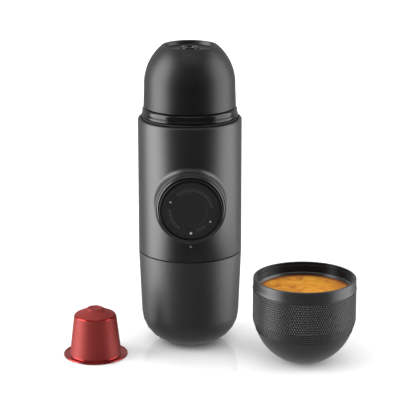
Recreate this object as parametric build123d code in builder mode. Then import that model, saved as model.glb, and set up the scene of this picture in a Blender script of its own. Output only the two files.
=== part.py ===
"""Handheld manual espresso maker for coffee capsules, with its cup taken off and one capsule beside it.

The maker stands on its water tank. The pump body screws onto the tank, and the domed outlet head
screws onto the body over the capsule holder. A piston crosses the body and is worked by the round knob.
Millimetres, +Z up, origin at the centre of the tank's foot. The knob faces -Y.
"""

import os
from math import sqrt

from build123d import *

os.makedirs("parts", exist_ok=True)

# ---------------------------------------------------------------------------------------------
# Driving dimensions
# ---------------------------------------------------------------------------------------------

# Clearances
seam_gap = 0.5  # open line between two outer shells
fit_gap = 0.1  # between a fixed piece and the bore that it is pushed into
run_gap = 0.3  # between pieces that turn or lift against each other
seal_gap = 0.1  # between a piston seal or valve ball and the wall beside it

# Outer shells
body_radius = 30.0
tank_height = 56.0
housing_height = 79.0
head_height = 42.0  # from the housing's rim to the top of the outlet head
housing_wall = 1.7
rim_round = 1.2
edge_break = 0.3

# Water tank
tank_taper = 2.25  # in radius, if the side is carried down to the floor
tank_corner = 18.5
tank_floor = 2.2
tank_wall = 3.8
tank_inner_corner = 17.0
tank_mouth_wall = 2.0
tank_thread_depth = 10.0

# Tank joint, below the housing
tank_thread_gap = 0.4
skirt_wall = 2.2
gasket_thickness = 1.0
strainer_rim = 2.4
strainer_wall = 1.4
strainer_plate = 0.6
strainer_hole = 1.1
strainer_pitch = 7.0
bulkhead_thickness = 3.0
bulkhead_lift = 1.5  # above the housing's lower edge

# Pump, with its axis along Y
pump_height = 90.0  # of the pump's axis above the floor
bore_radius = 6.0
cylinder_wall = 2.5
cylinder_front_reach = 15.0  # in front of the maker's axis
cylinder_back = 20.0
spring_flange_radius = 13.0
spring_flange_front = 2.0
spring_flange_thickness = 3.0
stroke = 24.0
piston_face = 13.5  # with the knob pushed home
cap_flange = 2.5
cap_spigot = 1.5
cap_seal_thickness = 0.8

# Valves, on a vertical axis through the pump chamber
valve_offset = 16.0  # behind the maker's axis
valve_radius = 4.5
valve_reach = 12.0  # from the pump's axis to the face that a valve seat meets
port_radius = 1.5
ball_radius = 1.9
ball_room = 2.5
valve_travel = 1.2
valve_room = 7.5  # from a seat's cone to the far end of its cage
valve_wire = 0.4
valve_coils = 3

# Deck, posts and manifold
deck_height = 25.0  # from the pump's axis to the deck's underside
deck_thickness = 3.5
post_inset = 2.6  # of the posts' centres from the housing's inner wall
post_angle = 20.0
post_radius = 2.1
screw_head_radius = 1.7
screw_head_height = 1.5
screw_shank_radius = 0.9
screw_length = 11.0
cradle_front = 5.3
cradle_length = 5.7
cradle_half_width = 8.0
manifold_thickness = 4.0
manifold_half_width = 4.5
channel_radius = 1.2

# Knob, piston and its boss on the housing
boss_radius = 20.3
boss_wall = 2.1
boss_proud = 7.0  # of the housing's front
boss_fillet = 3.0
boss_lip_round = 0.7
boss_length = 15.5
boss_ledge = 2.0
boss_ledge_gap = 2.5  # round the piston's sleeve
knob_proud = 3.0  # of the boss
knob_rim = 1.4  # width of the ring round the face disc
knob_wall = 1.8
knob_plate = 2.0
knob_round = 1.0
face_thickness = 1.0
face_dish_radius = 9.4
face_dish_depth = 0.5
lock_ring_length = 4.5
sleeve_radius = 13.0
sleeve_wall = 1.4
sleeve_end_gap = 2.85  # from the sleeve's end to the spring flange
key_width = 3.0
key_depth = 0.8
rod_radius = 4.0
piston_head_length = 6.5
seal_width = 1.8
seal_depth = 1.2
return_wire = 1.4
return_coils = 6
knob_screw_head = 2.8
knob_screw_shank = 1.4
knob_screw_length = 12.0

# Capsule
capsule_rim_radius = 18.5
capsule_height = 28.6
capsule_rim_thickness = 1.2  # over the curled edge
capsule_flange = 0.5  # thickness of the flat part of the rim
capsule_mouth = 14.9
capsule_nose = 12.2
capsule_shoulder = 24.4  # height of the nose's edge above the foil
capsule_wall = 0.4
capsule_edge = 0.9  # rounding of the nose's edge
nose_step_radius = 4.9
nose_step_height = 0.6
nose_step_taper = 0.4
nose_recess_radius = 3.4
nose_recess_depth = 0.4
foil_margin = 0.8
grounds_space = 1.5
capsule_foil_thickness = 0.2

# Capsule holder and neck
neck_wall = 2.4
neck_lip = 1.2  # wall round the holder's flange
neck_thread = 8.2  # length of neck inside the outlet head
head_thread_gap = 0.65
holder_wall = 1.8
holder_floor = 2.0
capsule_gap = 0.5
needle_plate_radius = 9.8
needle_plate_thickness = 1.0
needle_length = 3.0
needle_radius = 1.2
needle_spread = 6.0
needle_count = 3

# Collar between the housing and the head
collar_inset = 2.2  # of the lower bead from the body's outer wall
collar_step = 0.4  # the upper bead is this much smaller in radius
collar_wall = 1.8
collar_height = 6.5  # above the housing's rim
collar_flange = 2.0
collar_bead = 3.1  # height of the upper bead
collar_bead_round = 0.8
collar_line = 0.3  # the fine groove between the beads
snap_ring_wire = 0.5  # radius

# Outlet head
dome_inset = 1.15  # from the lower bead
dome_top_radius = 15.8
dome_side = 12.0  # height of the nearly straight side
dome_taper = 0.4
dome_arc_radius = 29.0
dome_wall = 2.4
dome_lip = 1.2
dish_depth = 2.4
dish_rim = 1.4
dish_taper = 0.6
outlet_hole = 5.6
spout_radius = 4.4
spout_bore = 2.4
spout_seat_radius = 7.4
spout_length = 8.6  # of the tube that holds the nozzle, down from the dish
insert_margin = 0.55  # inside the head's side
insert_thickness = 2.0
insert_wall = 1.8
funnel_radius = 15.0
screen_radius = 17.0
screen_thickness = 1.2
screen_bump = 0.8
screen_bump_side = 1.6
screen_pitch = 4.0
screen_hole = 0.6
capsule_gasket_thickness = 2.0

# Cup, standing beside the maker
cup_x = 65.0
cup_y = -36.0
cup_height = 49.3
cup_foot = 10.0
cup_belly_inset = 0.9  # of the cup's rounded lower half
cup_wall = 2.0
cup_slip = 0.2  # between the collar's lower bead and the cup's mouth
cup_mouth_wall = 1.8
cup_collar_height = 6.4
cup_groove = 0.7
cup_band_low = 18.3
cup_band_break = 23.5  # below this the band narrows with the cup
cup_band_taper = 1.9  # in radius, from the break down to the band's lower edge
cup_band_thickness = 1.2
cup_rim_round = 0.5
coffee_drop = 1.0  # from the ledge inside the cup down to the coffee

# Capsule's place beside the maker
capsule_x = -55.3
capsule_y = -27.0

# ---------------------------------------------------------------------------------------------
# Levels and radii that follow from them
# ---------------------------------------------------------------------------------------------

tank_base_radius = body_radius - tank_taper
tank_bore = body_radius - tank_wall
tank_mouth = body_radius - tank_mouth_wall
skirt_radius = tank_mouth - tank_thread_gap
housing_bore = body_radius - housing_wall
post_circle = housing_bore - post_inset
collar_radius = body_radius - collar_inset
dome_radius = collar_radius - dome_inset
neck_radius = dome_radius - dome_wall - head_thread_gap
insert_radius = dome_radius - dome_taper - dome_wall - insert_margin
dish_radius = dome_top_radius - dish_rim
cup_mouth = collar_radius + cup_slip
cup_radius = cup_mouth + cup_mouth_wall
cup_ball_radius = cup_radius - cup_belly_inset
cup_band_low_radius = cup_radius - cup_band_taper

tank_top = tank_height - seam_gap / 2
housing_bottom = tank_height + seam_gap / 2
housing_top = tank_height + housing_height
ledge_level = tank_top - tank_thread_depth
gasket_bottom = ledge_level + fit_gap
skirt_bottom = gasket_bottom + gasket_thickness + fit_gap
bulkhead_bottom = housing_bottom + bulkhead_lift
bulkhead_top = bulkhead_bottom + bulkhead_thickness
deck_bottom = pump_height + deck_height
deck_top = deck_bottom + deck_thickness
collar_top = housing_top + collar_height
head_bottom = collar_top + run_gap
neck_top = head_bottom + neck_thread
head_top = housing_top + head_height
cylinder_radius = bore_radius + cylinder_wall
boss_front = body_radius + boss_proud
boss_back = boss_front - boss_length
boss_bore = boss_radius - boss_wall
boss_ledge_bore = sleeve_radius + boss_ledge_gap
knob_front = boss_front + knob_proud
knob_radius = boss_bore - run_gap
face_radius = knob_radius - knob_rim - fit_gap
lock_ring_back = boss_back + boss_ledge + run_gap
lock_ring_front = lock_ring_back + lock_ring_length
knob_plate_front = knob_front - face_thickness - edge_break / 2
knob_plate_back = knob_plate_front - knob_plate
sleeve_length = knob_plate_back + spring_flange_front - sleeve_end_gap
cylinder_front = -cylinder_front_reach
valve_bottom_face = pump_height - valve_reach
valve_top_face = pump_height + valve_reach
manifold_bottom = deck_bottom - manifold_thickness

maker_section = Plane.XZ  # x is the radius, y the height
pump_section = Plane(origin=(0, 0, pump_height), x_dir=(0, 1, 0), z_dir=(1, 0, 0))  # x runs along Y
pump_axis = Axis((0, 0, pump_height), (0, 1, 0))
valve_section = Plane(origin=(0, valve_offset, 0), x_dir=(1, 0, 0), z_dir=(0, -1, 0))
valve_axis = Axis((0, valve_offset, 0), (0, 0, 1))
cup_section = Plane(origin=(cup_x, cup_y, 0), x_dir=(1, 0, 0), z_dir=(0, -1, 0))
cup_axis = Axis((cup_x, cup_y, 0), (0, 0, 1))
capsule_section = Plane(origin=(capsule_x, capsule_y, 0), x_dir=(1, 0, 0), z_dir=(0, -1, 0))
capsule_axis = Axis((capsule_x, capsule_y, 0), (0, 0, 1))


def outline(*points):
    """A face inside a closed outline of straight edges, in the sketch that is open."""
    Polygon(*points, align=None)


def block(x_low, x_high, y_low, y_high, mode=Mode.ADD):
    """A rectangle between four limits, in the sketch that is open."""
    with Locations(((x_low + x_high) / 2, (y_low + y_high) / 2)):
        Rectangle(x_high - x_low, y_high - y_low, mode=mode)


def corner(sketch, x, y):
    """The sketch's vertex that lies nearest to a point of its own plane."""
    return sketch.vertices().sort_by_distance((x, y, 0))[0]


# ---------------------------------------------------------------------------------------------
# Water tank and its seal
# ---------------------------------------------------------------------------------------------

with BuildPart() as water_tank:
    with BuildSketch(maker_section) as tank_outside:
        outline((0, 0), (tank_base_radius, 0), (body_radius, tank_top), (0, tank_top))
        fillet(corner(tank_outside, tank_base_radius, 0), tank_corner)
        fillet(corner(tank_outside, body_radius, tank_top), edge_break)
    revolve(axis=Axis.Z)
    with BuildSketch(maker_section) as tank_inside:
        block(0, tank_bore, tank_floor, ledge_level)
        block(0, tank_mouth, ledge_level, tank_top)
        fillet(corner(tank_inside, tank_bore, tank_floor), tank_inner_corner)
    revolve(axis=Axis.Z, mode=Mode.SUBTRACT)
water_tank.part.label = "water_tank"
export_step(water_tank.part, "parts/water_tank.step")

with BuildPart() as tank_gasket:
    with BuildSketch(maker_section):
        block(tank_bore + fit_gap, tank_mouth - run_gap, gasket_bottom, gasket_bottom + gasket_thickness)
    revolve(axis=Axis.Z)
tank_gasket.part.label = "tank_gasket"
export_step(tank_gasket.part, "parts/tank_gasket.step")

strainer_top = bulkhead_bottom - fit_gap
strainer_radius = skirt_radius - skirt_wall - run_gap

with BuildPart() as inlet_strainer:
    with BuildSketch(maker_section):
        block(0, strainer_radius, strainer_top - strainer_plate, strainer_top)
        block(strainer_radius - strainer_wall, strainer_radius, strainer_top - strainer_rim, strainer_top)
    revolve(axis=Axis.Z)
    with BuildSketch(Plane.XY.offset(strainer_top)):
        with HexLocations(radius=strainer_pitch / 2, x_count=5, y_count=5, major_radius=False):
            Circle(strainer_hole)
    extrude(amount=-strainer_plate, mode=Mode.SUBTRACT)
inlet_strainer.part.label = "inlet_strainer"
export_step(inlet_strainer.part, "parts/inlet_strainer.step")

# ---------------------------------------------------------------------------------------------
# Housing, with the round boss that holds the knob
# ---------------------------------------------------------------------------------------------

boss_plane = Plane(origin=(0, -boss_front, pump_height), x_dir=(1, 0, 0), z_dir=(0, -1, 0))

with BuildPart() as body_housing:
    with BuildSketch(Plane.XY.offset(housing_bottom)):
        Circle(body_radius)
    extrude(amount=housing_top - housing_bottom)
    with BuildSketch(boss_plane):
        Circle(boss_radius)
    extrude(amount=-boss_front)
    junction = body_housing.edges().filter_by(lambda e: e.geom_type not in (GeomType.CIRCLE, GeomType.LINE))
    fillet(junction, boss_fillet)
    boss_lip = body_housing.faces().sort_by(Axis.Y)[0].edges()
    fillet(boss_lip, boss_lip_round)
    rim = body_housing.faces().sort_by(Axis.Z)[-1].edges()
    fillet(rim, rim_round)
    foot_edge = body_housing.faces().sort_by(Axis.Z)[0].edges()
    fillet(foot_edge, edge_break)
    with BuildSketch(Plane.XY.offset(housing_bottom)):
        Circle(housing_bore)
    extrude(amount=housing_top - housing_bottom, mode=Mode.SUBTRACT)
    with BuildSketch(boss_plane.offset(-boss_proud)):
        Circle(boss_radius)
    extrude(amount=-(body_radius - boss_back))
    with BuildSketch(boss_plane):
        Circle(boss_ledge_bore)
    extrude(amount=-boss_front, mode=Mode.SUBTRACT)
    with BuildSketch(boss_plane):
        Circle(boss_bore)
    extrude(amount=-(boss_front - boss_back - boss_ledge), mode=Mode.SUBTRACT)
body_housing.part.label = "body_housing"
export_step(body_housing.part, "parts/body_housing.step")

# ---------------------------------------------------------------------------------------------
# Lower bulkhead: closes the housing and carries the tank's thread ring, the posts and the pump's cradle
# ---------------------------------------------------------------------------------------------

cradle_back = cradle_front + cradle_length
post_angles = (post_angle, -post_angle, 180 - post_angle, 180 + post_angle)

with BuildPart() as lower_bulkhead:
    with BuildSketch(maker_section):
        block(0, housing_bore - fit_gap, bulkhead_bottom, bulkhead_top)
    revolve(axis=Axis.Z)
    with BuildSketch(Plane.XY.offset(bulkhead_top)):
        for angle in post_angles:
            with PolarLocations(post_circle, 1, start_angle=angle):
                Circle(post_radius)
    extrude(amount=deck_bottom - bulkhead_top)
    with BuildSketch(Plane.XY.offset(bulkhead_top)):
        block(-cradle_half_width, cradle_half_width, cradle_front, cradle_back)
    extrude(amount=pump_height - bulkhead_top)
    with BuildSketch(pump_section.offset(0)):
        block(cradle_front, cradle_back, 0, cylinder_radius + fit_gap)
    revolve(axis=pump_axis, mode=Mode.SUBTRACT)
    with BuildSketch(Plane.XY.offset(deck_bottom)):
        for angle in post_angles:
            with PolarLocations(post_circle, 1, start_angle=angle):
                Circle(screw_shank_radius + fit_gap)
    extrude(amount=-screw_length, mode=Mode.SUBTRACT)
    with BuildSketch(Plane.XY.offset(bulkhead_top)):
        with Locations((0, valve_offset)):
            Circle(port_radius)
    extrude(amount=-bulkhead_thickness, mode=Mode.SUBTRACT)
lower_bulkhead.part.label = "lower_bulkhead"
export_step(lower_bulkhead.part, "parts/lower_bulkhead.step")

with BuildPart() as tank_thread_ring:
    with BuildSketch(maker_section):
        block(skirt_radius - skirt_wall, skirt_radius, skirt_bottom, bulkhead_bottom)
    revolve(axis=Axis.Z)
    chamfer(tank_thread_ring.faces().sort_by(Axis.Z)[0].edges(), edge_break)
tank_thread_ring.part.label = "tank_thread_ring"
export_step(tank_thread_ring.part, "parts/tank_thread_ring.step")

# ---------------------------------------------------------------------------------------------
# Pump cylinder with its valve bosses, end cap and seal
# ---------------------------------------------------------------------------------------------

with BuildPart() as pump_cylinder:
    with BuildSketch(pump_section):
        block(cylinder_front, cylinder_back, 0, cylinder_radius)
        block(
            spring_flange_front,
            spring_flange_front + spring_flange_thickness,
            0,
            spring_flange_radius,
        )
    revolve(axis=pump_axis)
    with BuildSketch(Plane.XY.offset(valve_bottom_face)):
        with Locations((0, valve_offset)):
            Circle(valve_radius)
    extrude(amount=valve_top_face - valve_bottom_face)
    with BuildSketch(Plane.XY.offset(valve_bottom_face)):
        with Locations((0, valve_offset)):
            Circle(port_radius)
    extrude(amount=valve_top_face - valve_bottom_face, mode=Mode.SUBTRACT)
    with BuildSketch(pump_section):
        block(cylinder_front, cylinder_back + valve_radius, 0, bore_radius)
    revolve(axis=pump_axis, mode=Mode.SUBTRACT)
    with BuildSketch(pump_section):
        block(cylinder_back, cylinder_back + valve_radius, 0, valve_reach)
    revolve(axis=pump_axis, mode=Mode.SUBTRACT)
pump_cylinder.part.label = "pump_cylinder"
export_step(pump_cylinder.part, "parts/pump_cylinder.step")

cap_front = cylinder_back + cap_seal_thickness

with BuildPart() as cylinder_end_cap:
    with BuildSketch(pump_section):
        block(cap_front, cap_front + cap_flange, 0, cylinder_radius)
        block(cylinder_back - cap_spigot, cap_front, 0, bore_radius - fit_gap)
    revolve(axis=pump_axis)
    chamfer(cylinder_end_cap.faces().sort_by(Axis.Y)[-1].edges(), edge_break)
cylinder_end_cap.part.label = "cylinder_end_cap"
export_step(cylinder_end_cap.part, "parts/cylinder_end_cap.step")

with BuildPart() as end_cap_seal:
    with BuildSketch(pump_section):
        block(cylinder_back, cap_front, bore_radius, cylinder_radius - edge_break)
    revolve(axis=pump_axis)
end_cap_seal.part.label = "end_cap_seal"
export_step(end_cap_seal.part, "parts/end_cap_seal.step")

# ---------------------------------------------------------------------------------------------
# Check valves: a seat with a ball and a spring below the pump chamber, and another above it
# ---------------------------------------------------------------------------------------------

seat_slope = ball_room - port_radius  # a 45 degree seat
ball_rest = sqrt(2) * (ball_radius + seal_gap) - port_radius  # ball's centre above the seat's lower edge
coil_radius = ball_room - valve_wire

valve_levels = {
    "inlet_valve": (bulkhead_top, valve_bottom_face),
    "outlet_valve": (valve_top_face, manifold_bottom),
}

for valve, (seat_bottom, seat_top) in valve_levels.items():
    cone_bottom = seat_top - valve_room
    ball_centre = cone_bottom + ball_rest
    ball_top = ball_centre + ball_radius

    with BuildPart() as valve_seat:
        with BuildSketch(valve_section):
            outline(
                (port_radius, seat_bottom),
                (valve_radius, seat_bottom),
                (valve_radius, seat_top),
                (ball_room, seat_top),
                (ball_room, cone_bottom + seat_slope),
                (port_radius, cone_bottom),
            )
        revolve(axis=valve_axis)
    valve_seat.part.label = f"{valve}_seat"
    export_step(valve_seat.part, f"parts/{valve}_seat.step")

    with BuildPart() as valve_ball:
        with Locations((0, valve_offset, ball_centre)):
            Sphere(ball_radius)
    valve_ball.part.label = f"{valve}_ball"
    export_step(valve_ball.part, f"parts/{valve}_ball.step")

    spring_length = seat_top - ball_top - valve_wire - 2 * seal_gap
    with BuildPart() as valve_spring:
        with BuildLine() as coil:
            Helix(
                pitch=spring_length / valve_coils,
                height=spring_length,
                radius=coil_radius - valve_wire / 2,
                center=(0, valve_offset, ball_top + seal_gap + valve_wire / 2),
            )
        with BuildSketch(Plane(origin=coil.line @ 0, z_dir=coil.line % 0)):
            Rectangle(valve_wire, valve_wire)
        sweep(is_frenet=True)
    valve_spring.part.label = f"{valve}_spring"
    export_step(valve_spring.part, f"parts/{valve}_spring.step")

# ---------------------------------------------------------------------------------------------
# Manifold: clamps the pump from above and leads the water to the middle of the deck
# ---------------------------------------------------------------------------------------------

with BuildPart() as brew_manifold:
    with BuildSketch(Plane.XY.offset(manifold_bottom)):
        with Locations((0, valve_offset / 2)):
            SlotCenterToCenter(valve_offset, 2 * manifold_half_width, rotation=90)
    extrude(amount=manifold_thickness)
    with BuildSketch(Plane.XY.offset(pump_height)):
        block(-manifold_half_width, manifold_half_width, cradle_front, cradle_back)
    extrude(amount=manifold_bottom - pump_height)
    with BuildSketch(pump_section):
        block(cradle_front, cradle_back, 0, cylinder_radius + fit_gap)
    revolve(axis=pump_axis, mode=Mode.SUBTRACT)
    channel_plane = Plane(
        origin=(0, 0, manifold_bottom + manifold_thickness / 2), x_dir=(1, 0, 0), z_dir=(0, 1, 0)
    )
    with BuildSketch(channel_plane):
        Circle(channel_radius)
    extrude(amount=valve_offset, mode=Mode.SUBTRACT)
    with BuildSketch(Plane.XY.offset(manifold_bottom)):
        with Locations((0, valve_offset)):
            Circle(channel_radius)
    extrude(amount=manifold_thickness / 2, mode=Mode.SUBTRACT)
    with BuildSketch(Plane.XY.offset(deck_bottom)):
        Circle(channel_radius)
    extrude(amount=-manifold_thickness / 2, mode=Mode.SUBTRACT)
brew_manifold.part.label = "brew_manifold"
export_step(brew_manifold.part, "parts/brew_manifold.step")

# ---------------------------------------------------------------------------------------------
# Deck, the threaded neck on it, and the screws that hold it to the posts
# ---------------------------------------------------------------------------------------------

with BuildPart() as brew_deck:
    with BuildSketch(maker_section):
        block(0, housing_bore - fit_gap, deck_bottom, deck_top)
    revolve(axis=Axis.Z)
    with BuildSketch(Plane.XY.offset(deck_bottom)):
        Circle(channel_radius)
    extrude(amount=deck_thickness, mode=Mode.SUBTRACT)
    for angle in post_angles:
        with Locations(Plane.XY.offset(deck_top)):
            with PolarLocations(post_circle, 1, start_angle=angle):
                CounterBoreHole(
                    screw_shank_radius + fit_gap,
                    screw_head_radius + fit_gap,
                    screw_head_height + fit_gap,
                    deck_thickness,
                )
brew_deck.part.label = "brew_deck"
export_step(brew_deck.part, "parts/brew_deck.step")

rim_seat = neck_top - capsule_rim_thickness
flange_seat = rim_seat - holder_wall

with BuildPart() as threaded_neck:
    with BuildSketch(maker_section):
        block(neck_radius - neck_wall, neck_radius, deck_top, neck_top)
        block(0, neck_radius - neck_lip, flange_seat, neck_top, mode=Mode.SUBTRACT)
    revolve(axis=Axis.Z)
    chamfer(threaded_neck.faces().sort_by(Axis.Z)[-1].edges(), edge_break)
threaded_neck.part.label = "threaded_neck"
export_step(threaded_neck.part, "parts/threaded_neck.step")

screw_seat = deck_top - screw_head_height - fit_gap

with BuildPart() as deck_screws:
    with BuildSketch(Plane.XY.offset(screw_seat)):
        for angle in post_angles:
            with PolarLocations(post_circle, 1, start_angle=angle):
                Circle(screw_head_radius)
    extrude(amount=screw_head_height)
    with BuildSketch(Plane.XY.offset(screw_seat)):
        for angle in post_angles:
            with PolarLocations(post_circle, 1, start_angle=angle):
                Circle(screw_shank_radius)
    extrude(amount=-screw_length)
deck_screws.part.label = "deck_screws"
export_step(deck_screws.part, "parts/deck_screws.step")

# ---------------------------------------------------------------------------------------------
# Capsule holder and the plate of needles on its floor
# ---------------------------------------------------------------------------------------------

holder_bottom = deck_top
cavity_bottom = holder_bottom + holder_floor
cavity_shoulder = rim_seat - (capsule_shoulder - capsule_rim_thickness)
holder_flange = neck_radius - neck_lip - fit_gap
cavity_mouth = capsule_mouth + capsule_gap
cavity_nose = capsule_nose + capsule_gap
needle_floor = cavity_bottom + needle_plate_thickness

with BuildPart() as capsule_holder:
    with BuildSketch(maker_section):
        outline(
            (channel_radius, holder_bottom),
            (cavity_nose + holder_wall, holder_bottom),
            (cavity_nose + holder_wall, cavity_shoulder),
            (cavity_mouth + holder_wall, flange_seat),
            (holder_flange, flange_seat),
            (holder_flange, neck_top),
            (capsule_rim_radius + capsule_gap, neck_top),
            (capsule_rim_radius + capsule_gap, rim_seat),
            (cavity_mouth, rim_seat),
            (cavity_nose, cavity_shoulder),
            (needle_plate_radius + fit_gap, needle_floor),
            (needle_plate_radius + fit_gap, cavity_bottom),
            (needle_plate_radius - holder_wall, cavity_bottom),
            (needle_plate_radius - holder_wall, cavity_bottom - channel_radius / 2),
            (channel_radius, cavity_bottom - channel_radius / 2),
        )
    revolve(axis=Axis.Z)
capsule_holder.part.label = "capsule_holder"
export_step(capsule_holder.part, "parts/capsule_holder.step")

with BuildPart() as needle_plate:
    with BuildSketch(Plane.XY.offset(cavity_bottom)):
        Circle(needle_plate_radius)
        with PolarLocations(needle_spread, needle_count, start_angle=60):
            Circle(port_radius / 2, mode=Mode.SUBTRACT)
    extrude(amount=needle_plate_thickness)
    with Locations(Plane.XY.offset(needle_floor)):
        with PolarLocations(needle_spread, needle_count):
            Cone(
                needle_radius,
                needle_radius / 8,
                needle_length,
                align=(Align.CENTER, Align.CENTER, Align.MIN),
            )
needle_plate.part.label = "needle_plate"
export_step(needle_plate.part, "parts/needle_plate.step")

# ---------------------------------------------------------------------------------------------
# Collar: two glossy beads between the housing's rim and the head, with the ring that grips the cup
# ---------------------------------------------------------------------------------------------

bead_split = collar_top - collar_bead
upper_bead_radius = collar_radius - collar_step
line_radius = upper_bead_radius - collar_line
groove_top = housing_top + 2 * snap_ring_wire
groove_radius = collar_radius - 2 * snap_ring_wire

with BuildPart() as neck_collar:
    with BuildSketch(maker_section) as collar_outline:
        block(collar_radius - collar_wall, collar_radius, deck_top, bead_split)
        block(collar_radius - collar_wall, upper_bead_radius, bead_split, collar_top)
        block(neck_radius + run_gap, upper_bead_radius, collar_top - collar_flange, collar_top)
        block(line_radius, collar_radius, bead_split - collar_line, bead_split, mode=Mode.SUBTRACT)
        block(groove_radius, collar_radius, housing_top, groove_top, mode=Mode.SUBTRACT)
        fillet(corner(collar_outline, upper_bead_radius, collar_top), collar_bead_round)
        fillet(corner(collar_outline, collar_radius, bead_split - collar_line), collar_bead_round / 2)
        fillet(corner(collar_outline, collar_radius, groove_top), collar_bead_round / 2)
    revolve(axis=Axis.Z)
neck_collar.part.label = "neck_collar"
export_step(neck_collar.part, "parts/neck_collar.step")

with BuildPart() as cup_snap_ring:
    with BuildSketch(maker_section):
        with Locations((groove_radius + snap_ring_wire, (housing_top + groove_top) / 2)):
            Circle(snap_ring_wire - fit_gap / 2)
    revolve(axis=Axis.Z)
cup_snap_ring.part.label = "cup_snap_ring"
export_step(cup_snap_ring.part, "parts/cup_snap_ring.step")

# ---------------------------------------------------------------------------------------------
# Piston, its sleeve, lock ring, knob and return spring
# ---------------------------------------------------------------------------------------------

key_reach = sleeve_radius - key_depth + run_gap  # inner end of the lock ring's keys

with BuildPart() as lock_ring:
    with BuildSketch(pump_section):
        block(-lock_ring_front, -lock_ring_back, sleeve_radius + run_gap, boss_bore - run_gap)
    revolve(axis=pump_axis)
    lock_plane = Plane(origin=(0, -lock_ring_front, pump_height), x_dir=(1, 0, 0), z_dir=(0, -1, 0))
    with BuildSketch(lock_plane):
        block(-boss_ledge_bore, boss_ledge_bore, -key_width / 2, key_width / 2)
        Circle(key_reach, mode=Mode.SUBTRACT)
    extrude(amount=-lock_ring_length)
lock_ring.part.label = "lock_ring"
export_step(lock_ring.part, "parts/lock_ring.step")

with BuildPart() as piston_knob:
    with BuildSketch(pump_section) as knob_outline:
        outline(
            (-knob_plate_back, 0),
            (-knob_plate_front, 0),
            (-knob_plate_front, face_radius + fit_gap),
            (-knob_front, face_radius + fit_gap),
            (-knob_front, knob_radius),
            (-lock_ring_front - run_gap, knob_radius),
            (-lock_ring_front - run_gap, knob_radius - knob_wall),
            (-knob_plate_back, knob_radius - knob_wall),
        )
        fillet(corner(knob_outline, -knob_front, knob_radius), knob_round)
    revolve(axis=pump_axis)
    knob_plane = Plane(origin=(0, -knob_plate_front, pump_height), x_dir=(1, 0, 0), z_dir=(0, -1, 0))
    with Locations(knob_plane):
        CounterSinkHole(knob_screw_shank + fit_gap, knob_screw_head + fit_gap, knob_plate)
piston_knob.part.label = "piston_knob"
export_step(piston_knob.part, "parts/piston_knob.step")

dish_ball = (face_dish_radius**2 + face_dish_depth**2) / (2 * face_dish_depth)

with BuildPart() as knob_face:
    with BuildSketch(pump_section):
        block(-knob_plate_front - face_thickness, -knob_plate_front, 0, face_radius)
    revolve(axis=pump_axis)
    with Locations((0, -knob_plate_front - face_thickness - dish_ball + face_dish_depth, pump_height)):
        Sphere(dish_ball, mode=Mode.SUBTRACT)
knob_face.part.label = "knob_face"
export_step(knob_face.part, "parts/knob_face.step")

with BuildPart() as plunger_sleeve:
    with BuildSketch(pump_section):
        block(
            -knob_plate_back,
            -knob_plate_back + sleeve_length,
            sleeve_radius - sleeve_wall,
            sleeve_radius,
        )
    revolve(axis=pump_axis)
    sleeve_plane = Plane(origin=(0, -knob_plate_back, pump_height), x_dir=(1, 0, 0), z_dir=(0, -1, 0))
    with BuildSketch(sleeve_plane):
        block(
            -sleeve_radius - key_depth,
            sleeve_radius + key_depth,
            -key_width / 2 - run_gap,
            key_width / 2 + run_gap,
        )
        Circle(sleeve_radius - key_depth, mode=Mode.SUBTRACT)
    extrude(amount=-sleeve_length, mode=Mode.SUBTRACT)
plunger_sleeve.part.label = "plunger_sleeve"
export_step(plunger_sleeve.part, "parts/plunger_sleeve.step")

piston_radius = bore_radius - seal_gap
seal_middle = piston_face - piston_head_length / 2
seal_floor = piston_radius - seal_depth

with BuildPart() as piston_rod:
    with BuildSketch(pump_section):
        block(-knob_plate_back, piston_face - piston_head_length, 0, rod_radius)
        block(piston_face - piston_head_length, piston_face, 0, piston_radius)
        block(
            seal_middle - seal_width / 2 - fit_gap,
            seal_middle + seal_width / 2 + fit_gap,
            seal_floor,
            piston_radius,
            mode=Mode.SUBTRACT,
        )
        block(
            -knob_plate_back,
            -knob_plate_back + knob_screw_length,
            0,
            knob_screw_shank + fit_gap / 2,
            mode=Mode.SUBTRACT,
        )
    revolve(axis=pump_axis)
piston_rod.part.label = "piston_rod"
export_step(piston_rod.part, "parts/piston_rod.step")

with BuildPart() as piston_seal:
    with BuildSketch(pump_section):
        block(
            seal_middle - seal_width / 2,
            seal_middle + seal_width / 2,
            seal_floor,
            bore_radius - seal_gap / 2,
        )
    revolve(axis=pump_axis)
piston_seal.part.label = "piston_seal"
export_step(piston_seal.part, "parts/piston_seal.step")

screw_cone = knob_screw_head - knob_screw_shank  # depth of the head's 45 degree cone

with BuildPart() as knob_screw:
    with BuildSketch(pump_section):
        outline(
            (-knob_plate_front, 0),
            (-knob_plate_front, knob_screw_head),
            (-knob_plate_front + screw_cone, knob_screw_shank),
            (-knob_plate_back + knob_screw_length - run_gap, knob_screw_shank),
            (-knob_plate_back + knob_screw_length - run_gap, 0),
        )
    revolve(axis=pump_axis)
knob_screw.part.label = "knob_screw"
export_step(knob_screw.part, "parts/knob_screw.step")

return_spring_radius = (cylinder_radius + sleeve_radius - sleeve_wall) / 2
return_spring_front = -knob_plate_back + fit_gap + return_wire / 2
return_spring_back = spring_flange_front - fit_gap - return_wire / 2

with BuildPart() as return_spring:
    with BuildLine() as return_coil:
        Helix(
            pitch=(return_spring_back - return_spring_front) / return_coils,
            height=return_spring_back - return_spring_front,
            radius=return_spring_radius,
            center=(0, return_spring_front, pump_height),
            direction=(0, 1, 0),
        )
    with BuildSketch(Plane(origin=return_coil.line @ 0, z_dir=return_coil.line % 0)):
        Rectangle(return_wire, return_wire)
    sweep(is_frenet=True)
return_spring.part.label = "return_spring"
export_step(return_spring.part, "parts/return_spring.step")

# ---------------------------------------------------------------------------------------------
# Outlet head: domed shell, the funnel that collects the coffee, the screen and the capsule's gasket
# ---------------------------------------------------------------------------------------------

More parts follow.
